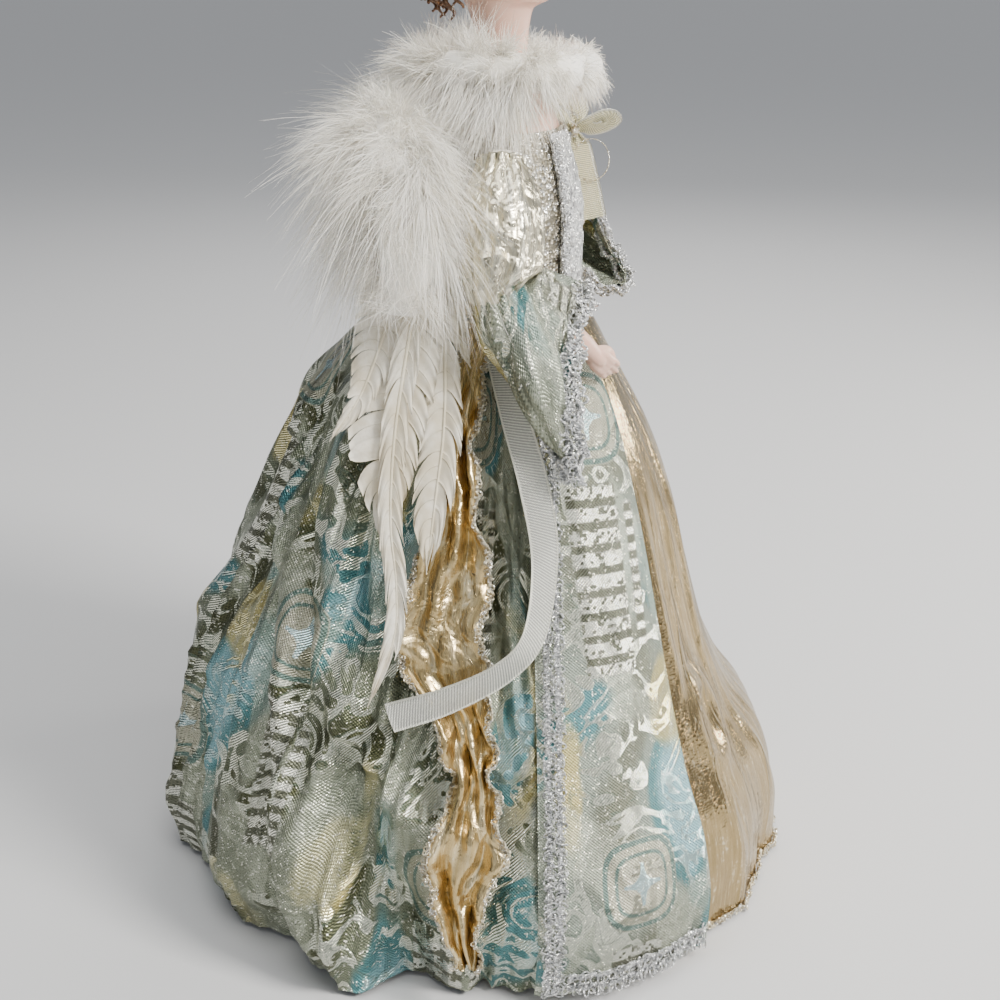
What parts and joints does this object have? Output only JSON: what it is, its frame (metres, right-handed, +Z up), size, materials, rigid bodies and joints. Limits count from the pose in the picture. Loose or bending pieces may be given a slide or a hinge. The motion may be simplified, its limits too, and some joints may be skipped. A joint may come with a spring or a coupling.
{
  "type": "angel figurine",
  "caption": "Standing angel doll with porcelain head and hands, brocade and gold gown over a card cone, marabou collar, and wired feather wings and arms",
  "frame": {"origin": "centre of the underside of the round base board, below the neck", "axes": "+Z up; the figure faces -Y, its right side is -X and its left side is +X"},
  "size_m": [0.2744, 0.2823, 0.4286],
  "materials": {
    "board": "bare fibreboard, matt",
    "card": "plain card, matt",
    "stuffing": "stuffed plain cotton",
    "porcelain": "bisque porcelain, painted, satin",
    "hair": "curled synthetic hair",
    "down": "white marabou down",
    "vane": "cream goose feather",
    "glitter_cloth": "silver and gold glitter cloth",
    "silver_braid": "looped silver metallic braid",
    "gold_braid": "gold and silver metallic edging",
    "gold_lame": "antique gold metallic satin",
    "brocade": "metallic jacquard in silver, teal, olive and gold",
    "sheer_ribbon": "sheer silver ribbon",
    "organza": "cream sheer ribbon with bound edges"
  },
  "bodies": {
    "dress": {"base_board": "board", "skirt_cone": "card", "torso_form": "stuffing", "bust": "porcelain", "wig": "hair", "feather_collar": "down", "bodice": "glitter_cloth", "bodice_lace": "silver_braid", "waistband": "gold_lame", "underskirt": "gold_lame", "underskirt_hem_cord": "gold_braid", "overskirt": "brocade", "wing_bracket": "card", "right_tabard": "brocade", "right_tabard_side_braid": "silver_braid", "right_tabard_foot_braid": "silver_braid", "right_sash": "gold_lame", "right_ribbon": "sheer_ribbon", "left_tabard": "brocade", "left_tabard_side_braid": "silver_braid", "left_tabard_foot_braid": "silver_braid", "left_sash": "gold_lame", "left_ribbon": "sheer_ribbon"},
    "right_arm": {"right_upper_arm": "stuffing", "right_hand": "porcelain", "right_sleeve": "brocade", "right_cuff_braid": "silver_braid"},
    "left_arm": {"left_upper_arm": "stuffing", "left_hand": "porcelain", "left_sleeve": "brocade", "left_cuff_braid": "silver_braid", "bow": "organza"},
    "right_wing": {"right_wing_frame": "card", "right_wing_down": "down", "right_feather_outer": "vane", "right_feather_second": "vane", "right_feather_tail": "vane", "right_feather_front": "vane", "right_feather_short": "vane"},
    "left_wing": {"left_wing_frame": "card", "left_wing_down": "down", "left_feather_outer": "vane", "left_feather_second": "vane", "left_feather_tail": "vane", "left_feather_front": "vane", "left_feather_short": "vane"}
  },
  "joints": [
    {"name": "right_arm_lift", "type": "hinge", "parent": "dress", "child": "right_arm", "pos_m": [-0.0485, -0.008, 0.312], "axis": [-1, 0, 0], "range_deg": [0, 25], "deforming": ["right_sleeve"]},
    {"name": "left_arm_lift", "type": "hinge", "parent": "dress", "child": "left_arm", "pos_m": [0.0485, -0.008, 0.312], "axis": [-1, 0, 0], "range_deg": [-8, 4], "deforming": ["left_sleeve"]},
    {"name": "right_wing_lift", "type": "hinge", "parent": "dress", "child": "right_wing", "pos_m": [-0.012, 0.0265, 0.308], "axis": [0, 1, 0], "range_deg": [0, 18]},
    {"name": "left_wing_lift", "type": "hinge", "parent": "dress", "child": "left_wing", "pos_m": [0.012, 0.0265, 0.308], "axis": [0, -1, 0], "range_deg": [0, 18]}
  ]
}
